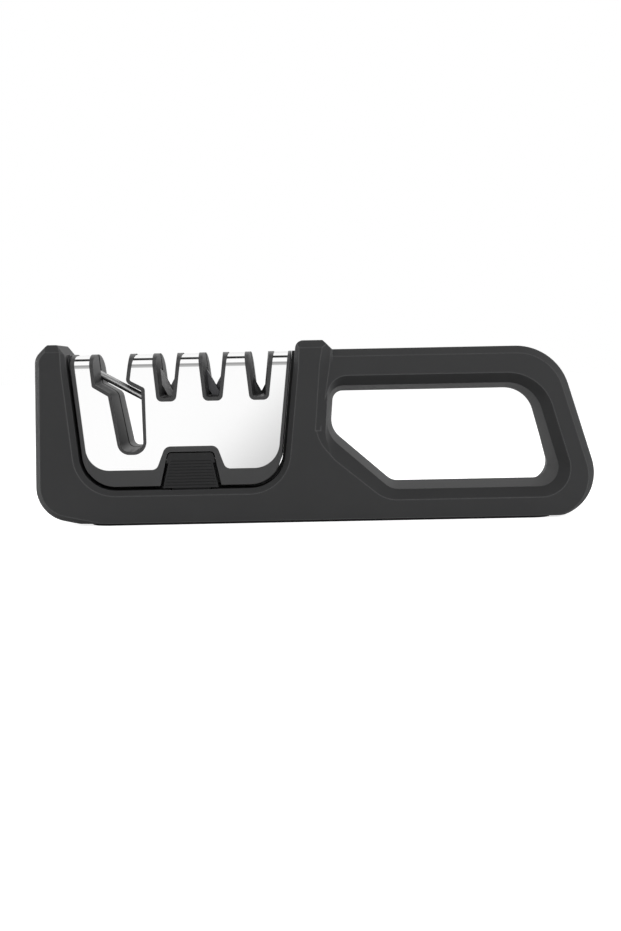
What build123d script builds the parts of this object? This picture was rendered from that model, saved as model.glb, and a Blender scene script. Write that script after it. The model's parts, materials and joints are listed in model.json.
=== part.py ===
from build123d import *
import math
import os

# A pull-through sharpener for knives and scissors: a hollow body with a loop handle on the right, and a
# lift-out head on the left with one scissors slot and three knife slots.
# Millimetres. X runs along the body, the front faces -Y, Z is up, the origin is the middle of the base.

# Overall size
length = 219.25
height = 70.9
base_depth = 44.0
shoulder_depth = 31.0
shoulder_drop = 9.9
brow_depth = 28.6
brow_drop = 3.0
crown_depth = 23.0
overrun = 5.0
least_radius = 0.3

# Body outline, seen from the front
wall = 2.2
left_lean = 0.8
corner_run = 21.6
corner_rise = 4.4
corner_upper_radius = 14.0
corner_lower_radius = 60.0
left_cap_width = 3.85
left_cap_chamfer_x = 4.7
left_cap_chamfer_z = 4.9
left_cap_radius = 6.0
cap_edge_radius = 0.8
bay_cap_chamfer_x = 3.3
bay_cap_chamfer_z = 4.3
bay_floor = 13.3
bay_width = 78.1
bay_left_run = 7.1
bay_right_run = 6.1
bay_left_radius = 15.0
bay_right_radius = 14.0
post_cap_width = 10.6
post_cap_radius = 3.2
post_chamfer = 3.7
body_bevel_depth = 2.2
body_bevel_width = 2.0
brow_bevel_width = 0.7
base_bevel_width = 0.5

# Handle loop
grip_depth = 25.6
grip_depth_drop = 10.9
grip_foot_height = 12.0
grip_top_inset = 12.75
grip_overhang = 5.05
grip_top_radius = 21.0
grip_bottom_radius = 18.0
grip_bevel_width = 2.9
grip_bevel_depth = 2.4
hole_post_width = 4.0
hole_left_run = 1.25
hole_left_length = 15.35
hole_top_width = 16.65
hole_bottom = 14.0
hole_corner_run = 24.25
hole_right_top_inset = 23.5
hole_right_bottom_inset = 14.0
hole_radii = (6.0, 5.8, 12.0, 4.0, 9.0)
ridge_depth = 4.9
ridge_widths = (2.3, 2.0, 2.15, 1.65, 2.5)
slope_run = 8.0
slope_widths = (6.4, 6.3, 6.4, 1.3, 7.7)
flank_width = 4.1
flank_depth = 2.9
flank_ridge_widths = (0.0, 0.0, 2.15, 2.15, 4.5)

# Underside
pad_thickness = 0.8
pad_margin = 1.0
cover_thickness = 2.0
cover_clearance = 0.2
base_left_inset = 20.9
base_right_inset = 16.4
base_corner_radius = 9.0

# Fasteners: insets run in from the ends or the post, drops down from the top, rises up from the base
screw_diameter = 3.0
screw_head_diameter = 5.6
screw_head_height = 2.0
screw_tip_depth = 8.0
screw_seat_depth = 6.0
screw_clearance = 0.2
boss_diameter = 8.4
drive_recess_width = 0.8
drive_recess_length = 3.4
drive_recess_depth = 1.0
left_upper_screw_inset = 6.1
left_upper_screw_drop = 20.6
left_lower_screw_inset = 10.4
left_lower_screw_rise = 17.0
post_upper_screw_inset = 5.6
post_upper_screw_drop = 13.6
post_lower_screw_inset = 7.9
post_lower_screw_rise = 16.0
right_upper_screw_inset = 26.4
right_upper_screw_drop = 10.2
right_lower_screw_inset = 7.8
right_lower_screw_rise = 11.5
base_screw_left_inset = 33.4
base_screw_right_inset = 41.4
base_screw_y = 9.0
base_screw_cover = 2.7

# Head envelope
head_recess = 2.5
head_gap = 1.55
head_drop = 4.2
arch_rise = 5.7
skin_thickness = 0.5
skin_clearance = 0.1
rim_proud = 0.4
frame_margin_left = 1.5
frame_margin_right = 1.2
frame_margin_bottom = 6.3
skin_left_radius = 9.6
skin_right_radius = 10.0
parting_gap = 0.3
seat_rib_width = 7.0
seat_rib_depth = 16.0
seat_rib_inset = 14.9
guide_depth = 14.0
guide_clearance = 0.3
guide_drop = 3.9

# Slots, seen from the front, to the outside of their rims
rim_width = 1.3
slot_draft = 1.1
slot_drop = 23.08
slot_bottom_half = 3.68
slot_flare = 0.112
slot_radius = 2.2
first_slot_gap = 7.85
last_slot_gap = 8.7
slot_reach = 4.5

# The scissors slot's corners: places in from the body's left end, and down from its top
scissor_rise = 13.9
scissor_leg_left = 33.25
scissor_leg_right = 43.9
scissor_step_right = (43.2, 17.8)
scissor_step_hook = (37.25, 14.7)
scissor_step_ledge = (22.5, 16.9)
scissor_step_left = (28.85, 20.7)
scissor_top_right = 39.75
scissor_top_left = 19.85
scissor_radii = (4.9, 4.9, 1.2, 1.0, 0.0, 0.0, 1.0, 0.8)

# Sharpening elements
fit = 0.1
element_angle = 29.0
element_above = 10.0
element_below = 4.5
element_offset = 0.5
element_gap = 0.8
liner = 2.6
frame_wall = 2.4
diamond_tip_drop = 16.6
diamond_thickness = 2.6
diamond_depth = 5.0
carbide_tip_drop = 16.8
carbide_thickness = 3.2
carbide_depth = 4.0
ceramic_tip_drop = 19.6
ceramic_diameter = 3.0
scissor_rod_diameter = 2.9
scissor_rod_left = (20.25, 9.9)
scissor_rod_right = (44.85, 23.4)
head_screw_insets = (23.85, 49.25, 79.25, 92.25)

# Release button
button_offset = 3.15
button_floor_gap = 0.7
button_height = 13.5
button_top_half = 8.7
button_bottom_half = 11.7
button_radius = 1.2
button_notch_drop = 3.9
button_notch_width = 0.9
button_gap = 0.45
button_proud = 0.5
button_thickness = 2.6
pocket_wall = 2.0
surround_top_width = 2.2
surround_side_width = 1.0
surround_offset = 0.15
surround_flare = 3.4
surround_radius = 3.0
surround_foot_radius = 2.6
groove_pitch = 1.165
groove_count = 9
groove_width = 0.5
groove_depth = 0.4
groove_rise = 0.75
groove_margin = 1.6
pivot_drop = 2.5
pivot_back = 1.3
knuckle_diameter = 3.6
pin_diameter = 1.6
pin_running = 0.05
pin_length = 27.0
knuckle_half = 7.6
pocket_floor = 8.0
toe_half = 7.5
toe_thickness = 1.7
toe_drop = 4.4
nose_height = 1.4
nose_reach = 0.8
window_clearance = 0.5
window_depth = 7.0
spring_diameter = 5.0
spring_wire = 0.6
spring_turns = 5
spring_rise = 4.6
spring_slack = 0.05
half_turn = 180

left = -length / 2
right = length / 2
base_half = base_depth / 2
shoulder_height = height - shoulder_drop
brow_height = height - brow_drop
face_slope = (base_half - shoulder_depth / 2) / shoulder_height


def face_at(z):
    """Distance of the body's front face from the middle plane at height z."""
    return base_half - z * face_slope


def shifted(corners, distances):
    """Corners (x, z, radius), counterclockwise, with each edge moved inward by its own distance."""
    count = len(corners)
    lines = []
    for i in range(count):
        x0, z0, _ = corners[i]
        x1, z1, _ = corners[(i + 1) % count]
        run = math.hypot(x1 - x0, z1 - z0)
        ux, uz = (x1 - x0) / run, (z1 - z0) / run
        lines.append((x0 - uz * distances[i], z0 + ux * distances[i], ux, uz))
    moved = []
    for i in range(count):
        ax, az, au, aw = lines[i - 1]
        bx, bz, bu, bw = lines[i]
        cross = au * bw - aw * bu
        t = ((bx - ax) * bw - (bz - az) * bu) / cross
        mean = (distances[i - 1] + distances[i]) / 2
        radius = corners[i][2]
        if radius:
            radius = max(radius - mean * math.copysign(1, cross), least_radius)
        moved.append((ax + au * t, az + aw * t, radius))
    return moved


def evenly(corners, distance):
    """The outline with every edge moved inward by one distance."""
    return shifted(corners, [distance] * len(corners))


def drawn(corners, plane=Plane.XZ, stretch=1):
    """The face inside an outline of (x, z, radius) corners."""
    points = [(x, z * stretch) for x, z, _ in corners]
    return make_face(plane * FilletPolyline(*points, radius=[r for *_, r in corners], close=True))


def front_prism(corners, near=0, far=base_depth):
    """The outline seen from the front, from one distance in front of the middle plane to another."""
    return Pos(0, -near, 0) * extrude(drawn(corners), far - near)


def both_prism(corners):
    """The outline seen from the front, right through the body."""
    return extrude(drawn(corners), base_depth, both=True)


def side_prism(points):
    """A side profile of (y, z) points, run along the whole length."""
    return extrude(Plane.YZ * make_face(Polyline(*points, close=True)), length, both=True)


def leaning_section(corners, half_at_base, slope, depth):
    """The outline drawn on a plane that leans back as it rises, depth behind the face there."""
    lean = math.atan(slope)
    normal = (0, -math.cos(lean), math.sin(lean))
    plane = Plane(origin=(0, depth - half_at_base, 0), x_dir=(1, 0, 0), z_dir=normal)
    return drawn(corners, plane, 1 / math.cos(lean))


def box(x0, x1, y0, y1, z0, z1):
    """A block between two corners."""
    return Pos((x0 + x1) / 2, (y0 + y1) / 2, (z0 + z1) / 2) * Box(x1 - x0, y1 - y0, z1 - z0)


def rod(x, y0, y1, z, diameter):
    """A round rod along Y."""
    return Pos(x, (y0 + y1) / 2, z) * Rot(90, 0, 0) * Cylinder(diameter / 2, abs(y1 - y0))


def upright(x, y, z0, z1, diameter):
    """A round rod along Z."""
    return Pos(x, y, (z0 + z1) / 2) * Cylinder(diameter / 2, z1 - z0)


def rear(shape):
    """The same shape on the rear side."""
    return mirror(shape, about=Plane.XZ)


# Outlines of the body
cap_right = left + left_cap_chamfer_x + left_cap_width
bay_left_top = cap_right + bay_cap_chamfer_x
bay_left_foot = bay_left_top + bay_left_run
bay_right_foot = bay_left_foot + bay_width
bay_slant = bay_left_run / (height - bay_cap_chamfer_z - bay_floor)
post_left = bay_right_foot + bay_right_run
post_right = post_left + post_cap_width
grip_height = height - post_chamfer
hole_left_top = post_right + hole_post_width
hole_left_bottom = hole_left_top - hole_left_run
hole_bottom_left = hole_left_bottom + hole_corner_run
hole_top = grip_height - hole_top_width
hole_left_height = hole_top - hole_left_length
hole_right_top = right - hole_right_top_inset
hole_right_bottom = right - hole_right_bottom_inset

hole_ring = [
    (hole_bottom_left, hole_bottom, hole_radii[0]),
    (hole_right_bottom, hole_bottom, hole_radii[1]),
    (hole_right_top, hole_top, hole_radii[2]),
    (hole_left_top, hole_top, hole_radii[3]),
    (hole_left_bottom, hole_left_height, hole_radii[4]),
]
body_corners = [
    (left + corner_run, 0, corner_lower_radius),
    (hole_bottom_left, 0, 0),
    (hole_bottom_left, hole_bottom, 0),
    (hole_left_bottom, hole_left_height, 0),
    (post_right + post_chamfer, grip_height, 0),
    (post_right, height, cap_edge_radius),
    (post_left, height, post_cap_radius),
    (bay_right_foot, bay_floor, bay_right_radius),
    (bay_left_foot, bay_floor, bay_left_radius),
    (bay_left_top, height - bay_cap_chamfer_z, cap_edge_radius),
    (cap_right, height, cap_edge_radius),
    (left + left_cap_chamfer_x, height, cap_edge_radius),
    (left, height - left_cap_chamfer_z, left_cap_radius),
    (left + left_lean, corner_rise, corner_upper_radius),
]
body_bevels = [
    base_bevel_width,
    0,
    0,
    0,
    0,
    brow_bevel_width,
    body_bevel_width,
    body_bevel_width,
    body_bevel_width,
    brow_bevel_width,
    brow_bevel_width,
    body_bevel_width,
    body_bevel_width,
    body_bevel_width,
]
grip_corners = [
    (post_left + wall, 0, 0),
    (right + grip_overhang, 0, grip_bottom_radius),
    (right - grip_top_inset, grip_height, grip_top_radius),
    (post_left + wall, grip_height, 0),
]
grip_bevels = [base_bevel_width, grip_bevel_width, grip_bevel_width, 0]
bay_corners = [
    (bay_left_foot, bay_floor, bay_left_radius),
    (bay_right_foot, bay_floor, bay_right_radius),
    (post_left, height, 0),
    (bay_left_foot - bay_slant * (height - bay_floor), height, 0),
]


def body_sides(inset):
    """Side profile of the body's front half, with its walls moved inward."""
    return side_prism(
        [
            (0, -overrun),
            (inset - face_at(-overrun), -overrun),
            (inset - face_at(shoulder_height), shoulder_height),
            (inset - brow_depth / 2, brow_height - inset),
            (inset - crown_depth / 2, height - inset),
            (0, height - inset),
        ]
    )


grip_foot_half = face_at(grip_foot_height)
grip_slope = (grip_foot_half - grip_depth / 2) / (height - grip_depth_drop - grip_foot_height)
grip_base_half = grip_foot_half + grip_foot_height * grip_slope


def grip_sides(inset):
    """Side profile of the handle's front half, with its walls moved inward."""
    return side_prism(
        [
            (0, -overrun),
            (inset - face_at(-overrun), -overrun),
            (inset - grip_foot_half, grip_foot_height),
            (inset - grip_base_half + height * grip_slope, height),
            (0, height),
        ]
    )


def bevelled(corners, widths, depth, sides, half, slope):
    """An outline run back from a leaning face to the middle plane, with a bevel round the face."""
    outer = leaning_section(corners, half, slope, depth)
    inner = leaning_section(shifted(corners, widths), half, slope, 0)
    return (extrude(outer, base_depth, dir=(0, 1, 0)) + loft([outer, inner], ruled=True)) & sides(0)


def hole_cut(inset):
    """The handle's opening: a wide slope at the face, then a steeper wall to the middle plane."""
    ring = evenly(hole_ring, -inset)
    ridge = shifted(ring, [-w for w in ridge_widths])
    mouth = shifted(ridge, [-w for w in slope_widths])
    ridge_face = leaning_section(ridge, grip_base_half, grip_slope, ridge_depth)
    mouth_face = leaning_section(mouth, grip_base_half, grip_slope, ridge_depth - slope_run)
    return loft([drawn(ring), ridge_face], ruled=True) + loft([ridge_face, mouth_face], ruled=True)


flank_reach = flank_width / flank_depth * slope_run


def flank_cut(inset):
    """Takes the post's right side down to the handle above the opening."""
    top = height + overrun
    lean = (hole_left_top - hole_left_bottom) / (hole_top - hole_left_height)
    foot = hole_left_top + lean * (top - hole_top) - flank_ridge_widths[3] - inset
    low_foot = hole_left_bottom - flank_ridge_widths[3] - inset
    deep = [
        (low_foot, hole_left_height, 0),
        (foot + base_depth, hole_left_height, 0),
        (foot + base_depth, top, 0),
        (foot, top, 0),
    ]
    out = shifted(deep, [0, 0, 0, -flank_reach])
    return loft(
        [
            leaning_section(deep, base_half, face_slope, flank_depth),
            leaning_section(out, base_half, face_slope, flank_depth - slope_run),
        ],
        ruled=True,
    )


def low_flank_cut(inset):
    """The same slope beside the opening, down to its lower left corner."""
    ring = evenly(hole_ring, -inset)
    ridge = shifted(ring, [-w for w in flank_ridge_widths])
    mouth = shifted(ridge, [0, 0, -slope_widths[3], -flank_reach, -slope_widths[4]])
    ridge_face = leaning_section(ridge, base_half, face_slope, flank_depth)
    mouth_face = leaning_section(mouth, base_half, face_slope, flank_depth - slope_run)
    return loft([ridge_face, mouth_face], ruled=True)


def body_half():
    """The front half of the body, solid."""
    block = bevelled(body_corners, body_bevels, body_bevel_depth, body_sides, base_half, face_slope)
    block -= flank_cut(0)
    grip = bevelled(grip_corners, grip_bevels, grip_bevel_depth, grip_sides, grip_base_half, grip_slope)
    return block + grip - hole_cut(0) - low_flank_cut(0)


def body_cavity():
    """The hollow of the front half, one wall thickness in from every face."""
    block = (front_prism(evenly(body_corners, wall)) & body_sides(wall)) - flank_cut(wall)
    grip = front_prism(evenly(grip_corners, wall)) & grip_sides(wall)
    return block + grip - hole_cut(wall) - low_flank_cut(wall)


housing_screw_places = [
    (left + left_upper_screw_inset, height - left_upper_screw_drop),
    (left + left_lower_screw_inset, left_lower_screw_rise),
    (post_right - post_upper_screw_inset, height - post_upper_screw_drop),
    (post_right - post_lower_screw_inset, post_lower_screw_rise),
    (right - right_upper_screw_inset, height - right_upper_screw_drop),
    (right - right_lower_screw_inset, right_lower_screw_rise),
]
base_screw_x = (left + base_screw_left_inset, right - base_screw_right_inset)
base_boss_top = bay_floor - wall / 2
base_screw_top = base_boss_top - base_screw_cover


def base_plan(margin, z0, z1):
    """A block of the underside's plan, with a margin to the body's base outline."""
    x0 = left + base_left_inset + margin
    x1 = right - base_right_inset - margin
    half = face_at(0) - margin
    plan = RectangleRounded(x1 - x0, 2 * half, base_corner_radius - margin)
    return Pos((x0 + x1) / 2, 0, z0) * extrude(plan, z1 - z0)


def screw(length_below_head):
    """A screw along Z with its head's underside at zero and a crossed recess."""
    head = Pos(0, 0, screw_head_height / 2) * Cylinder(screw_head_diameter / 2, screw_head_height)
    shank = Pos(0, 0, -length_below_head / 2) * Cylinder(screw_diameter / 2, length_below_head)
    bar = Box(drive_recess_length, drive_recess_width, drive_recess_depth)
    cross = Pos(0, 0, screw_head_height - drive_recess_depth / 2) * (bar + Rot(0, 0, 90) * bar)
    return head + shank - cross


def head_half_at(z):
    """Distance of the head's front face from the middle plane at height z."""
    return face_at(z) - head_recess


arch_spring = height - head_drop - arch_rise


def head_sides(inset):
    """Side profile of the whole head: leaning faces that run on into an arched top, moved inward."""
    half = head_half_at(arch_spring) - inset
    foot = head_half_at(0) - inset
    rise = arch_rise - inset
    reach = math.sqrt(half**2 - (face_slope * rise) ** 2)
    lean = math.degrees(math.asin(face_slope * rise / half))
    arch = EllipticalCenterArc((0, arch_spring), reach, rise, start_angle=lean, arc_size=half_turn - 2 * lean)
    outline = [
        arch,
        Line(arch @ 1, (-foot, 0)),
        Line((-foot, 0), (foot, 0)),
        Line((foot, 0), arch @ 0),
    ]
    return extrude(Plane.YZ * make_face(outline), length, both=True)


slot_bottom = height - slot_drop
scissor_bottom = bay_floor + scissor_rise


def knife_slot(x):
    """Outline of one knife slot, outside its rim."""
    top = height + overrun
    top_half = slot_bottom_half + slot_flare * (top - slot_bottom)
    return [
        (x - slot_bottom_half, slot_bottom, slot_radius),
        (x + slot_bottom_half, slot_bottom, slot_radius),
        (x + top_half, top, 0),
        (x - top_half, top, 0),
    ]


def from_corner(place):
    """A place given in from the body's left end and down from its top, as x and z."""
    inset, drop = place
    return left + inset, height - drop


scissor_slot = [
    (left + scissor_leg_left, scissor_bottom, scissor_radii[0]),
    (left + scissor_leg_right, scissor_bottom, scissor_radii[1]),
    (*from_corner(scissor_step_right), scissor_radii[2]),
    (*from_corner(scissor_step_hook), scissor_radii[3]),
    (left + scissor_top_right, height + slot_reach, scissor_radii[4]),
    (left + scissor_top_left, height + slot_reach, scissor_radii[5]),
    (*from_corner(scissor_step_ledge), scissor_radii[6]),
    (*from_corner(scissor_step_left), scissor_radii[7]),
]
first_slot_x = left + scissor_leg_right + first_slot_gap
last_slot_x = bay_right_foot - last_slot_gap
slot_x = (first_slot_x, (first_slot_x + last_slot_x) / 2, last_slot_x)
slots = [scissor_slot] + [knife_slot(x) for x in slot_x]

button_x = (bay_left_foot + bay_right_foot) / 2 + button_offset
button_bottom = bay_floor + button_floor_gap
button_top = button_bottom + button_height
button_notch_height = button_top - button_notch_drop
pivot_height = button_top - pivot_drop
button_slant = (button_bottom_half - button_top_half) / (button_top - button_bottom)
notch_half = button_top_half + button_slant * (button_top - button_notch_height)
button_corners = [
    (button_x - button_bottom_half + button_notch_width, button_bottom, 0),
    (button_x + button_bottom_half - button_notch_width, button_bottom, 0),
    (button_x + notch_half - button_notch_width, button_notch_height, 0),
    (button_x + notch_half, button_notch_height, 0),
    (button_x + button_top_half, button_top, button_radius),
    (button_x - button_top_half, button_top, button_radius),
    (button_x - notch_half, button_notch_height, 0),
    (button_x - notch_half + button_notch_width, button_notch_height, 0),
]
button_outline = [
    (button_x - button_bottom_half - button_slant * overrun, button_bottom - overrun, 0),
    (button_x + button_bottom_half + button_slant * overrun, button_bottom - overrun, 0),
    (button_x + button_top_half, button_top, button_radius),
    (button_x - button_top_half, button_top, button_radius),
]
pocket_corners = evenly(button_outline, -button_gap)
block_corners = evenly(pocket_corners, -pocket_wall)

head_corners = shifted(bay_corners, [head_gap, head_gap, 0, head_gap])
edge_corners = shifted(head_corners, [-overrun, frame_margin_right, 0, frame_margin_left])
plain_skin = shifted(head_corners, [frame_margin_bottom, frame_margin_right, 0, frame_margin_left])
skin_bottom = plain_skin[0][1]
surround_top = button_top + button_gap + surround_top_width
surround_half = button_top_half + button_gap + surround_side_width
surround_foot = surround_half + surround_flare
surround_x = button_x + surround_offset
skin_corners = [
    (*plain_skin[0][:2], skin_left_radius),
    (surround_x - surround_foot, skin_bottom, surround_foot_radius),
    (surround_x - surround_half, surround_top, surround_radius),
    (surround_x + surround_half, surround_top, surround_radius),
    (surround_x + surround_foot, skin_bottom, surround_foot_radius),
    (*plain_skin[1][:2], skin_right_radius),
    plain_skin[2],
    plain_skin[3],
]
pivot_y = button_thickness + pivot_back - head_half_at(pivot_height)


def front_seats():
    """Ribs in the bay that the head stands on, and guides beside it."""
    top = bay_floor + head_gap
    seats = [
        box(x - seat_rib_width / 2, x + seat_rib_width / 2, -seat_rib_depth / 2, 0, bay_floor - wall, top)
        for x in (bay_left_foot + seat_rib_inset, bay_right_foot - seat_rib_inset)
    ]
    land = head_gap - guide_clearance
    outside = front_prism(evenly(bay_corners, -wall), 0, guide_depth / 2)
    inside = front_prism(shifted(bay_corners, [land, land, -overrun, land]), 0, guide_depth / 2)
    band = box(left, post_right, -guide_depth / 2, 0, bay_floor - wall, height - guide_drop)
    return seats + list(((outside - inside) & band).solids())


def front_housing_blank():
    """The front shell without its screw holes."""
    solid = body_half()
    shell = solid - body_cavity()
    for x, z in housing_screw_places:
        shell += rod(x, -base_half, 0, z, boss_diameter) & solid
    for x in base_screw_x:
        shell += upright(x, -base_screw_y, pad_thickness, base_boss_top, boss_diameter) & solid
    for seat in front_seats():
        shell += seat
    shell -= box(-length, length, -base_depth, base_depth, -base_depth, pad_thickness)
    shell -= base_plan(wall - cover_clearance, -overrun, pad_thickness + cover_thickness + cover_clearance)
    toe_front = toe_y0 - nose_reach - window_clearance
    shell -= box(
        button_x - toe_half - window_clearance,
        button_x + toe_half + window_clearance,
        toe_front,
        toe_front + window_depth,
        bay_floor - 2 * wall,
        bay_floor + wall / 2,
    )
    for x in base_screw_x:
        shell -= upright(x, -base_screw_y, 0, base_screw_top + screw_clearance, screw_diameter + fit)
    return shell


toe_y0 = -head_half_at(button_bottom) + button_thickness - toe_thickness
toe_bottom = button_bottom - toe_drop


def make_front_housing():
    shell = front_housing_blank()
    for x, z in housing_screw_places:
        shell -= rod(x, -screw_tip_depth - screw_clearance, overrun, z, screw_diameter + fit)
    return shell


def make_rear_housing():
    shell = rear(front_housing_blank())
    for x, z in housing_screw_places:
        seat = face_at(z) - screw_seat_depth
        shell -= rod(x, -overrun, base_depth, z, screw_diameter + fit)
        shell -= rod(x, seat, base_depth, z, screw_head_diameter + 2 * screw_clearance)
    return shell


def make_housing_screws():
    screws = []
    for x, z in housing_screw_places:
        seat = face_at(z) - screw_seat_depth
        screws.append(Pos(x, seat, z) * Rot(-90, 0, 0) * screw(seat + screw_tip_depth))
    return Compound(children=screws)


def make_base_cover():
    low = pad_thickness
    plate = base_plan(wall, low, low + cover_thickness)
    for x in base_screw_x:
        for y in (-base_screw_y, base_screw_y):
            plate -= upright(x, y, 0, low + 2 * cover_thickness, screw_diameter + fit)
            plate -= upright(x, y, 0, low + screw_head_height / 2, screw_head_diameter + 2 * screw_clearance)
    return plate


def make_base_screws():
    seat = pad_thickness + screw_head_height / 2
    reach = base_screw_top - seat
    head = Cylinder(screw_head_diameter / 2, screw_head_height / 2)
    shank = Cylinder(screw_diameter / 2, reach)
    one = Pos(0, 0, seat - screw_head_height / 4) * head + Pos(0, 0, seat + reach / 2) * shank
    places = [(x, y) for x in base_screw_x for y in (-base_screw_y, base_screw_y)]
    return Compound(children=[Pos(x, y, 0) * one for x, y in places])


def make_base_pad():
    return base_plan(pad_margin, 0, pad_thickness)


def on_v(x, tip_drop, thickness, depth, side):
    """Place for one element of a V; side -1 leans left at its top and sits in front, +1 the other way."""
    angle = math.radians(element_angle)
    along = (element_above - element_below) / 2
    cx = x + element_offset + side * (math.sin(angle) * along + math.cos(angle) * thickness / 2)
    cz = height - tip_drop + math.cos(angle) * along - math.sin(angle) * thickness / 2
    return Pos(cx, side * (element_gap + depth) / 2, cz) * Rot(0, side * element_angle, 0)


element_length = element_above + element_below


def element_bar(x, tip_drop, thickness, depth, side, grow):
    """One flat element of a V."""
    bar = Box(thickness + 2 * grow, depth + 2 * grow, element_length + 2 * grow)
    return on_v(x, tip_drop, thickness, depth, side) * bar


def element_rod(x, tip_drop, diameter, side, grow):
    """One round element of a V."""
    round_bar = Cylinder(diameter / 2 + grow, element_length + 2 * grow)
    return on_v(x, tip_drop, diameter, diameter, side) * round_bar


def scissor_rod(grow=0):
    """The slanted round rod in the scissors slot."""
    x0, z0 = from_corner(scissor_rod_left)
    x1, z1 = from_corner(scissor_rod_right)
    span = math.hypot(x1 - x0, z1 - z0)
    tilt = math.degrees(math.atan2(z0 - z1, x1 - x0))
    lie = Pos((x0 + x1) / 2, 0, (z0 + z1) / 2) * Rot(0, 90 + tilt, 0)
    return lie * Cylinder(scissor_rod_diameter / 2 + grow, span + 2 * grow)


def elements(grow):
    """Every sharpening element by name, grown on all sides for its pocket."""
    made = {"scissor_rod": scissor_rod(grow)}
    for side, word in ((-1, "left"), (1, "right")):
        made["diamond_plate_" + word] = element_bar(
            slot_x[0], diamond_tip_drop, diamond_thickness, diamond_depth, side, grow
        )
        made["carbide_blade_" + word] = element_bar(
            slot_x[1], carbide_tip_drop, carbide_thickness, carbide_depth, side, grow
        )
        made["ceramic_rod_" + word] = element_rod(slot_x[2], ceramic_tip_drop, ceramic_diameter, side, grow)
    return made


def slot_cut(slot):
    """The opening inside a slot's rim in the front half, narrowest at the middle plane."""
    reach = 2 * head_half_at(slot_bottom)
    middle = evenly(slot, rim_width + slot_draft)
    outside = evenly(slot, rim_width - slot_draft)
    return loft([drawn(middle), Pos(0, -reach, 0) * drawn(outside)], ruled=True)


def straight_slot_cut(slot):
    """The same opening in the rear half, where it runs straight on."""
    return front_prism(evenly(slot, rim_width + slot_draft))


head_screw_height = (button_top + slot_bottom) / 2
head_screw_places = [(left + inset, head_screw_height) for inset in head_screw_insets]


def frame_half(cut_slot):
    """One half of the head's plastic frame, seen as the front one, with the rims of the slots and sides."""
    outline = front_prism(head_corners, parting_gap / 2)
    solid = outline & head_sides(0)
    solid -= front_prism(evenly(skin_corners, -skin_clearance)) - head_sides(skin_thickness + skin_clearance)
    solid += (outline - front_prism(edge_corners)) & head_sides(-rim_proud)
    for slot in slots:
        solid += front_prism(slot, parting_gap / 2) & head_sides(-rim_proud)
    for slot in slots:
        solid -= cut_slot(slot)
    core = front_prism(evenly(head_corners, frame_wall)) & head_sides(frame_wall)
    for slot in slots:
        core -= front_prism(evenly(slot, -liner))
    core -= front_prism(block_corners)
    for x, z in head_screw_places:
        core -= rod(x, -base_half, 0, z, boss_diameter)
    solid -= core
    for x, z in head_screw_places:
        solid += rod(x, -boss_diameter, 0, z, boss_diameter)
        solid -= rod(x, -screw_tip_depth - screw_clearance, overrun, z, screw_diameter + fit)
    solid -= front_prism(pocket_corners, pocket_floor, base_depth)
    solid -= (
        Pos(button_x, pivot_y, pivot_height) * Rot(0, 90, 0) * Cylinder(pin_diameter / 2 + fit, pin_length + 2 * fit)
    )
    return solid


def make_frame_front():
    return frame_half(slot_cut)


def cut_elements(solid):
    for shape in elements(fit).values():
        solid -= shape
    return solid


def make_frame_rear():
    blank = rear(frame_half(straight_slot_cut))
    for x, z in head_screw_places:
        seat = head_half_at(z) - screw_seat_depth
        blank -= rod(x, -overrun, base_depth, z, screw_diameter + fit)
        blank -= rod(x, seat, base_depth, z, screw_head_diameter + 2 * screw_clearance)
    return blank


def make_head_screws():
    screws = []
    for x, z in head_screw_places:
        seat = head_half_at(z) - screw_seat_depth
        screws.append(Pos(x, seat, z) * Rot(-90, 0, 0) * screw(seat + screw_tip_depth))
    return Compound(children=screws)


def make_steel_cover():
    """The polished skin folded over the head from front to rear."""
    skin = both_prism(skin_corners) & (head_sides(0) - head_sides(skin_thickness))
    skin -= box(-length, length, -base_depth, base_depth, -overrun, bay_floor)
    for slot in slots:
        skin -= both_prism(evenly(slot, -skin_clearance))
    return skin


def make_button():
    """The front release button: ribbed face, pivot knuckle, toe and nose."""
    shell = head_sides(-button_proud) - head_sides(button_thickness)
    button = front_prism(button_corners) & shell
    skim = head_sides(-button_proud) - head_sides(groove_depth - button_proud)
    for i in range(groove_count):
        z = button_bottom + groove_rise + i * groove_pitch
        half = button_bottom_half - button_slant * (z - button_bottom) - groove_margin
        slab = box(button_x - half, button_x + half, -base_depth, 0, z, z + groove_width)
        button -= slab & skim
    plate_back = button_thickness - head_half_at(pivot_height)
    button += box(
        button_x - knuckle_half,
        button_x + knuckle_half,
        plate_back - button_thickness / 2,
        pivot_y,
        pivot_height - knuckle_diameter / 2,
        pivot_height + knuckle_diameter / 2,
    )
    lie = Pos(button_x, pivot_y, pivot_height) * Rot(0, 90, 0)
    button += lie * Cylinder(knuckle_diameter / 2, 2 * knuckle_half)
    button -= lie * Cylinder(pin_diameter / 2 + pin_running, 4 * knuckle_half)
    toe_y1 = toe_y0 + toe_thickness
    button += box(
        button_x - toe_half, button_x + toe_half, toe_y0, toe_y1, toe_bottom, button_bottom + toe_thickness
    )
    nose = make_face(
        Polyline(
            (toe_y0, toe_bottom),
            (toe_y0, toe_bottom + nose_height),
            (toe_y0 - nose_reach, toe_bottom + nose_height),
            close=True,
        )
    )
    return button + Pos(button_x, 0, 0) * extrude(Plane.YZ * nose, toe_half, both=True)


def make_pin():
    return Pos(button_x, pivot_y, pivot_height) * Rot(0, 90, 0) * Cylinder(pin_diameter / 2, pin_length)


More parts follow.
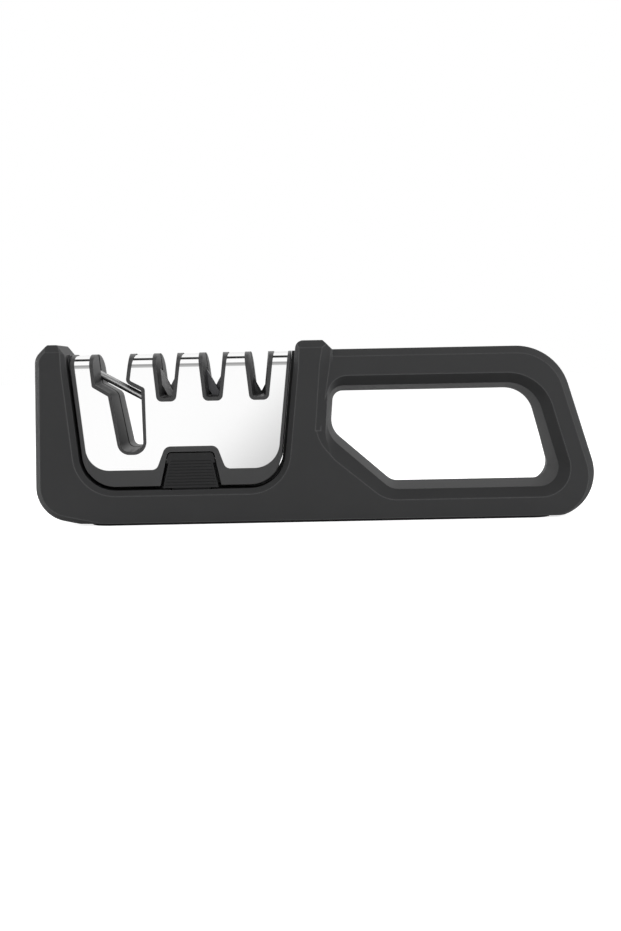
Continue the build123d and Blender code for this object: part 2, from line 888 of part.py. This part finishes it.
def make_spring():
    """The coil spring behind the button, one unbroken wire."""
    spring_height = button_bottom + spring_rise
    back = head_half_at(spring_height) - button_thickness
    free = back - pocket_floor - spring_wire - 2 * spring_slack
    radius = (spring_diameter - spring_wire) / 2
    path = Helix(pitch=free / spring_turns, height=free, radius=radius)
    start = Plane(origin=path @ 0, z_dir=path % 0)
    wire = sweep(start * Circle(spring_wire / 2), path=path)
    seat = -pocket_floor - spring_wire / 2 - spring_slack
    return Pos(button_x, seat, spring_height) * Rot(90, 0, 0) * wire


def save(shape, name):
    solids = shape.solids()
    whole = solids[0] if len(solids) == 1 else Compound(children=list(solids))
    export_step(whole, os.path.join("parts", name + ".step"))


def main():
    os.makedirs("parts", exist_ok=True)
    save(make_front_housing(), "front_housing")
    save(make_rear_housing(), "rear_housing")
    save(make_housing_screws(), "housing_screws")
    save(make_base_cover(), "base_cover")
    save(make_base_screws(), "base_screws")
    save(make_base_pad(), "base_pad")
    save(cut_elements(make_frame_front()), "head_frame_front")
    save(cut_elements(make_frame_rear()), "head_frame_rear")
    save(make_head_screws(), "head_screws")
    save(make_steel_cover(), "steel_cover")
    for name, shape in elements(0).items():
        save(shape, name)
    for word, place in (("front", lambda shape: shape), ("rear", rear)):
        save(place(make_button()), word + "_release_button")
        save(place(make_pin()), word + "_button_pin")
        save(place(make_spring()), word + "_button_spring")


main()
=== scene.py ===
import json
import math

import bpy
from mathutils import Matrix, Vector

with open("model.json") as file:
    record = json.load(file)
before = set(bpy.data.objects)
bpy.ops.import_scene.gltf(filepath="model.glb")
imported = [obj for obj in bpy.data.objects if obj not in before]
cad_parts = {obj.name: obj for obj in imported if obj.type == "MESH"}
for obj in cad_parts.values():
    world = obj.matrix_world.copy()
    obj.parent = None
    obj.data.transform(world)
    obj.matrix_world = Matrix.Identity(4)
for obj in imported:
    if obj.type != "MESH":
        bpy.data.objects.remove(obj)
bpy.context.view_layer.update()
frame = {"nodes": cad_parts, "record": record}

MM = 0.001
scene = bpy.context.scene
nodes = frame["nodes"]


# Shader helpers

BEVEL_SAMPLES = 6
# Cosines of the turn between the rounded and the flat normal where the edge mask is full and where it ends
EDGE_COSINES = (0.95, 0.998)


def feed(tree, socket, value):
    """Links a socket, or sets the value on it."""
    if isinstance(value, bpy.types.NodeSocket):
        tree.links.new(value, socket)
    else:
        socket.default_value = value


def calc(tree, operation, *values, clamp=False):
    node = tree.nodes.new("ShaderNodeMath")
    node.operation = operation
    node.use_clamp = clamp
    for socket, value in zip(node.inputs, values):
        feed(tree, socket, value)
    return node.outputs[0]


def spread(tree, value, low, high, start=0.0, end=1.0):
    """A value from start to end, spread from low to high."""
    node = tree.nodes.new("ShaderNodeMapRange")
    feed(tree, node.inputs["Value"], value)
    feed(tree, node.inputs["From Min"], start)
    feed(tree, node.inputs["From Max"], end)
    feed(tree, node.inputs["To Min"], low)
    feed(tree, node.inputs["To Max"], high)
    return node.outputs["Result"]


def noise(tree, scale, detail=2.0, stretch=(1, 1, 1)):
    """Noise in the object's own space, its scale in grains per metre."""
    coords = tree.nodes.new("ShaderNodeTexCoord")
    mapping = tree.nodes.new("ShaderNodeMapping")
    mapping.inputs["Scale"].default_value = stretch
    node = tree.nodes.new("ShaderNodeTexNoise")
    node.inputs["Scale"].default_value = scale
    node.inputs["Detail"].default_value = detail
    tree.links.new(coords.outputs["Object"], mapping.inputs["Vector"])
    tree.links.new(mapping.outputs["Vector"], node.inputs["Vector"])
    return node.outputs["Fac"]


def blend_colors(tree, factor, first, second):
    node = tree.nodes.new("ShaderNodeMix")
    node.data_type = "RGBA"
    feed(tree, node.inputs["Factor"], factor)
    colors = [socket for socket in node.inputs if socket.type == "RGBA"]
    feed(tree, colors[0], first)
    feed(tree, colors[1], second)
    return [socket for socket in node.outputs if socket.type == "RGBA"][0]


def tone(color, share):
    return (*(min(part * share, 1) for part in color), 1)


def new_shader(name, metallic=0.0):
    material = bpy.data.materials.new(name)
    material.use_nodes = True
    shader = material.node_tree.nodes["Principled BSDF"]
    shader.inputs["Metallic"].default_value = metallic
    return material, material.node_tree, shader


def rounded_edges(tree, radius):
    """Normals that run round each edge, and a mask of the strips beside the edges."""
    bevel = tree.nodes.new("ShaderNodeBevel")
    bevel.samples = BEVEL_SAMPLES
    bevel.inputs["Radius"].default_value = radius
    geometry = tree.nodes.new("ShaderNodeNewGeometry")
    dot = tree.nodes.new("ShaderNodeVectorMath")
    dot.operation = "DOT_PRODUCT"
    tree.links.new(bevel.outputs["Normal"], dot.inputs[0])
    tree.links.new(geometry.outputs["Normal"], dot.inputs[1])
    return bevel.outputs["Normal"], spread(tree, dot.outputs["Value"], 1.0, 0.0, *EDGE_COSINES)


def bump(tree, shader, height, strength, distance, normal=None):
    node = tree.nodes.new("ShaderNodeBump")
    node.inputs["Strength"].default_value = strength
    node.inputs["Distance"].default_value = distance
    tree.links.new(height, node.inputs["Height"])
    if normal:
        tree.links.new(normal, node.inputs["Normal"])
    tree.links.new(node.outputs["Normal"], shader.inputs["Normal"])


# Materials

# Scales are in grains per metre
GLOSS = 0.11
FRAME_GLOSS = 0.42
CLOUD_SCALE = 45
CLOUD_TONES = (0.92, 1.08)
MOULD_GRAINS = 3200
RUBBER_GRAINS = 1400
DULL_SPREAD = 0.05
EDGE_POLISH = 0.06
GRAIN_STRENGTH = 0.35
# Share of the colour left in the seam band: painted shade for the groove between the frame halves
SEAM_PAINTED_SHADE = 0.25
SEAM_CORE_SHARE = 0.6
SHEET_LINES = 260
SHEET_CLOUDS = 30
METAL_TONES = (0.85, 1.15)
METAL_SPREAD = 0.06
WIRE_LINES = 2500
CARBIDE_LINES = 1200
DIAMOND_CELLS = 3400
DIAMOND_PATCHES = 1500
HATCH_SCALE = 420
CERAMIC_GRAINS = 2600


def plastic(
    name, color, roughness, edge=0.7 * MM, edge_highlight=2.3,
    grains=MOULD_GRAINS, depth=0.02 * MM, seam=0.0, gloss=GLOSS,
):
    """Moulded plastic: spark-eroded grain, faint clouds in tone, smoother edges, and a painted highlight that
    lightens the edges.

    With seam, a duller band of the given half width runs round it where the front and rear halves meet. The
    band is darkened as painted shade for the shadow in the groove between them."""
    material, tree, shader = new_shader(name)
    clouds = noise(tree, CLOUD_SCALE, 3.0)
    grain = noise(tree, grains)
    normal, rim = rounded_edges(tree, edge)
    body = blend_colors(tree, clouds, *(tone(color, share) for share in CLOUD_TONES))
    # Painted highlight: the strips beside the edges are lightened to stand in for the light that rounded
    # edges catch
    body = blend_colors(tree, rim, body, tone(color, edge_highlight))
    dull = spread(tree, grain, roughness - DULL_SPREAD, roughness + DULL_SPREAD)
    if seam:
        coords = tree.nodes.new("ShaderNodeTexCoord")
        way = tree.nodes.new("ShaderNodeSeparateXYZ")
        tree.links.new(coords.outputs["Object"], way.inputs[0])
        side = calc(tree, "ABSOLUTE", way.outputs["Y"])
        near = spread(tree, side, 1.0, 0.0, seam * SEAM_CORE_SHARE, seam)
        # Painted shade: the band at the seam is darkened to stand in for the shadow in the groove between the
        # halves
        body = blend_colors(tree, near, body, tone(color, SEAM_PAINTED_SHADE))
        dull = calc(tree, "MAXIMUM", dull, near)
    feed(tree, shader.inputs["Base Color"], body)
    polish = calc(tree, "MULTIPLY", rim, EDGE_POLISH)
    feed(tree, shader.inputs["Roughness"], calc(tree, "SUBTRACT", dull, polish))
    shader.inputs["Specular IOR Level"].default_value = gloss
    bump(tree, shader, grain, GRAIN_STRENGTH, depth, normal)
    return material


def polished_steel(name):
    """Bright rolled sheet: nearly a mirror, with a faint grain along its length."""
    material, tree, shader = new_shader(name, 1.0)
    lines = noise(tree, SHEET_LINES, 3.0, (1, 14, 14))
    clouds = noise(tree, SHEET_CLOUDS)
    color = blend_colors(tree, clouds, (0.97, 0.97, 0.97, 1), (1, 1, 1, 1))
    feed(tree, shader.inputs["Base Color"], color)
    feed(tree, shader.inputs["Roughness"], spread(tree, lines, 0.05, 0.10))
    bump(tree, shader, lines, 0.05, 0.004 * MM)
    return material


def ground_steel(name, color, roughness, scale=900, stretch=(1, 12, 12)):
    """Ground or drawn metal, its marks along one way."""
    material, tree, shader = new_shader(name, 1.0)
    lines = noise(tree, scale, 3.0, stretch)
    marks = blend_colors(tree, lines, *(tone(color, share) for share in METAL_TONES))
    feed(tree, shader.inputs["Base Color"], marks)
    dull = spread(tree, lines, roughness - METAL_SPREAD, roughness + METAL_SPREAD)
    feed(tree, shader.inputs["Roughness"], dull)
    bump(tree, shader, lines, 0.2, 0.01 * MM)
    return material


def diamond_grit(name):
    """Nickel-bonded diamond: a grey coat with bright grains standing out of it."""
    material, tree, shader = new_shader(name, 0.3)
    coords = tree.nodes.new("ShaderNodeTexCoord")
    cells = tree.nodes.new("ShaderNodeTexVoronoi")
    cells.inputs["Scale"].default_value = DIAMOND_CELLS
    tree.links.new(coords.outputs["Object"], cells.inputs["Vector"])
    grains = spread(tree, cells.outputs["Distance"], 1.0, 0.0, 0.05, 0.35)
    picked = calc(tree, "GREATER_THAN", noise(tree, DIAMOND_PATCHES, 1.0), 0.56)
    bright = calc(tree, "MULTIPLY", grains, picked)
    color = blend_colors(tree, bright, (0.24, 0.24, 0.24, 1), (0.85, 0.85, 0.85, 1))
    feed(tree, shader.inputs["Base Color"], color)
    shader.inputs["Roughness"].default_value = 0.45
    bump(tree, shader, grains, 0.8, 0.05 * MM)
    return material


def ceramic(name):
    """Dark sintered ceramic with fine cross hatching from its mould."""
    material, tree, shader = new_shader(name)
    coords = tree.nodes.new("ShaderNodeTexCoord")
    hatch = tree.nodes.new("ShaderNodeTexWave")
    hatch.inputs["Scale"].default_value = HATCH_SCALE
    hatch.inputs["Distortion"].default_value = 1.0
    tree.links.new(coords.outputs["Object"], hatch.inputs["Vector"])
    grain = noise(tree, CERAMIC_GRAINS, 3.0)
    color = blend_colors(tree, grain, (0.022, 0.022, 0.023, 1), (0.05, 0.05, 0.05, 1))
    feed(tree, shader.inputs["Base Color"], color)
    shader.inputs["Roughness"].default_value = 0.6
    bump(tree, shader, hatch.outputs["Fac"], 0.5, 0.04 * MM)
    return material


by_slot = {
    "housing_plastic": plastic("housing_plastic", (0.0345, 0.0347, 0.0353), 0.48),
    "base_plastic": plastic("base_plastic", (0.026, 0.026, 0.027), 0.5),
    "pad_rubber": plastic(
        "pad_rubber", (0.016, 0.016, 0.017), 0.75, 0.3 * MM, 1.1, RUBBER_GRAINS, 0.05 * MM
    ),
    "frame_plastic": plastic(
        "frame_plastic", (0.0340, 0.0340, 0.0345), 0.40, 0.35 * MM, 1.7, seam=1.3 * MM, gloss=FRAME_GLOSS
    ),
    "button_plastic": plastic("button_plastic", (0.0225, 0.0225, 0.0230), 0.45, 0.15 * MM, 1.7),
    "cover_steel": polished_steel("cover_steel"),
    "rod_steel": ground_steel("rod_steel", (0.55, 0.55, 0.55), 0.28),
    "diamond_grit": diamond_grit("diamond_grit"),
    "carbide": ground_steel("carbide", (0.10, 0.10, 0.105), 0.35, CARBIDE_LINES, (8, 8, 1)),
    "ceramic": ceramic("ceramic"),
    "screw_steel": ground_steel("screw_steel", (0.35, 0.35, 0.36), 0.35, WIRE_LINES, (1, 1, 1)),
    "pin_steel": ground_steel("pin_steel", (0.5, 0.5, 0.5), 0.3),
    "spring_steel": ground_steel("spring_steel", (0.4, 0.4, 0.4), 0.3, WIRE_LINES, (1, 1, 1)),
}
slots = {part["node"]: part["material_slot"] for part in frame["record"]["subparts"]}
for name, obj in nodes.items():
    obj.data.materials.clear()
    obj.data.materials.append(by_slot[slots[name]])


# Stage

# Glows show to the rays named with them, where 1 is white
FLOOR_GLOW = 0.76
FLOOR_GLOSS_GLOW = 0.25
FLOOR_SPECKS = 300
FLOOR_SIZE = 30
AMBIENT = 0.45


def seen_rays(tree, *outputs):
    """One where a ray is any of the named kinds."""
    path = tree.nodes.new("ShaderNodeLightPath")
    total = path.outputs[outputs[0]]
    for name in outputs[1:]:
        total = calc(tree, "MAXIMUM", total, path.outputs[name])
    return total


def floor_material():
    material, tree, shader = new_shader("floor")
    specks = noise(tree, FLOOR_SPECKS)
    color = blend_colors(tree, specks, (0.60, 0.60, 0.60, 1), (0.64, 0.64, 0.64, 1))
    feed(tree, shader.inputs["Base Color"], color)
    shader.inputs["Roughness"].default_value = 0.9
    shader.inputs["Emission Color"].default_value = (1, 1, 1, 1)
    seen = calc(tree, "MULTIPLY", seen_rays(tree, "Is Camera Ray", "Is Transmission Ray"), FLOOR_GLOW)
    glossy = calc(tree, "MULTIPLY", seen_rays(tree, "Is Glossy Ray"), FLOOR_GLOSS_GLOW)
    feed(tree, shader.inputs["Emission Strength"], calc(tree, "ADD", seen, glossy))
    return material


bpy.ops.mesh.primitive_plane_add(size=FLOOR_SIZE, location=(0, 0, 0))
floor = bpy.context.object
floor.name = "floor"
floor.data.materials.append(floor_material())


# Brightness of the studio as gloss shows it, by the turn in degrees from the front over the top to the back
STUDIO = (
    (0, 1.0),
    (13, 1.0),
    (18, 0.60),
    (33, 0.46),
    (48, 0.36),
    (67, 0.36),
    (73, 1.0),
    (114, 1.0),
    (117, 0.03),
    (134, 0.03),
    (137, 1.0),
    (175, 0.9),
    (179, 0.45),
    (180, 0.45),
)
# The soft darker place low in front, where the light tent opens: its level, and its fall upwards and sideways
OPENING_LEVEL = 1.42
OPENING_FALL = 6.0
OPENING_SIDE_FALL = 6.2
OPENING_MOST = 0.5


def studio_world():
    world = bpy.data.worlds.new("studio")
    world.use_nodes = True
    tree = world.node_tree
    tree.nodes.clear()
    coords = tree.nodes.new("ShaderNodeTexCoord")
    way = tree.nodes.new("ShaderNodeSeparateXYZ")
    tree.links.new(coords.outputs["Generated"], way.inputs[0])
    x, y, z = way.outputs
    turn = calc(tree, "DIVIDE", calc(tree, "ARCTAN2", z, calc(tree, "MULTIPLY", y, -1.0)), math.pi)
    ramp = tree.nodes.new("ShaderNodeValToRGB")
    stops = ramp.color_ramp.elements
    while len(stops) < len(STUDIO):
        stops.new(0.5)
    for stop, (angle, level) in zip(stops, STUDIO):
        stop.position = angle / 180
        stop.color = (level, level, level, 1)
    feed(tree, ramp.inputs["Fac"], turn)
    side = calc(tree, "MULTIPLY", calc(tree, "ABSOLUTE", x), OPENING_SIDE_FALL)
    fall = calc(tree, "ADD", calc(tree, "MULTIPLY", z, OPENING_FALL), side)
    dark = calc(tree, "SUBTRACT", OPENING_LEVEL, fall, clamp=True)
    dark = calc(tree, "MINIMUM", dark, OPENING_MOST)
    gloss = calc(tree, "MAXIMUM", calc(tree, "SUBTRACT", ramp.outputs["Color"], dark), 0.0)
    white = seen_rays(tree, "Is Camera Ray", "Is Transmission Ray")
    shown = seen_rays(tree, "Is Glossy Ray")
    extra = calc(tree, "MULTIPLY", shown, calc(tree, "SUBTRACT", gloss, AMBIENT))
    level = calc(tree, "ADD", extra, AMBIENT)
    level = calc(tree, "MAXIMUM", level, white)
    back = tree.nodes.new("ShaderNodeBackground")
    back.inputs["Color"].default_value = (1, 1, 1, 1)
    feed(tree, back.inputs["Strength"], level)
    out = tree.nodes.new("ShaderNodeOutputWorld")
    tree.links.new(back.outputs[0], out.inputs["Surface"])
    return world


scene.world = studio_world()


def area_light(name, place, target, size, power):
    data = bpy.data.lights.new(name, "AREA")
    data.shape = "SQUARE"
    data.size = size
    data.energy = power
    obj = bpy.data.objects.new(name, data)
    scene.collection.objects.link(obj)
    obj.location = place
    aim = Vector(target) - Vector(place)
    obj.rotation_euler = aim.to_track_quat("-Z", "Y").to_euler()
    obj.visible_glossy = False
    return obj


area_light("key", (0.3, -0.95, 0.5), (0, 0, 0.03), 0.7, 7.6)
area_light("left", (-0.9, 0.2, 0.2), (-0.1, 0, 0.03), 0.4, 14)
area_light("right", (0.9, 0.25, 0.25), (0.1, 0, 0.03), 0.4, 7)


# Camera: the photograph's view, level with the object's upper part, with the frame shifted to hold it
FRAME_HEIGHT = 931
FOCAL_PIXELS = 1309.5
SHIFT_PIXELS = (0.5, -90.5)
CAMERA_PLACE = (-1.08 * MM, -530 * MM, 57.1 * MM)
CAMERA_ROLL = 1.12
SENSOR_WIDTH = 36

data = bpy.data.cameras.new("camera")
camera = bpy.data.objects.new("camera", data)
scene.collection.objects.link(camera)
camera.location = CAMERA_PLACE
camera.rotation_euler = (math.radians(90), math.radians(CAMERA_ROLL), 0)
data.sensor_width = SENSOR_WIDTH
data.sensor_fit = "AUTO"
data.lens = FOCAL_PIXELS / FRAME_HEIGHT * SENSOR_WIDTH
data.shift_x, data.shift_y = (pixels / FRAME_HEIGHT for pixels in SHIFT_PIXELS)
data.clip_start = 0.01
data.clip_end = 100
scene.camera = camera

scene.view_settings.view_transform = "Standard"
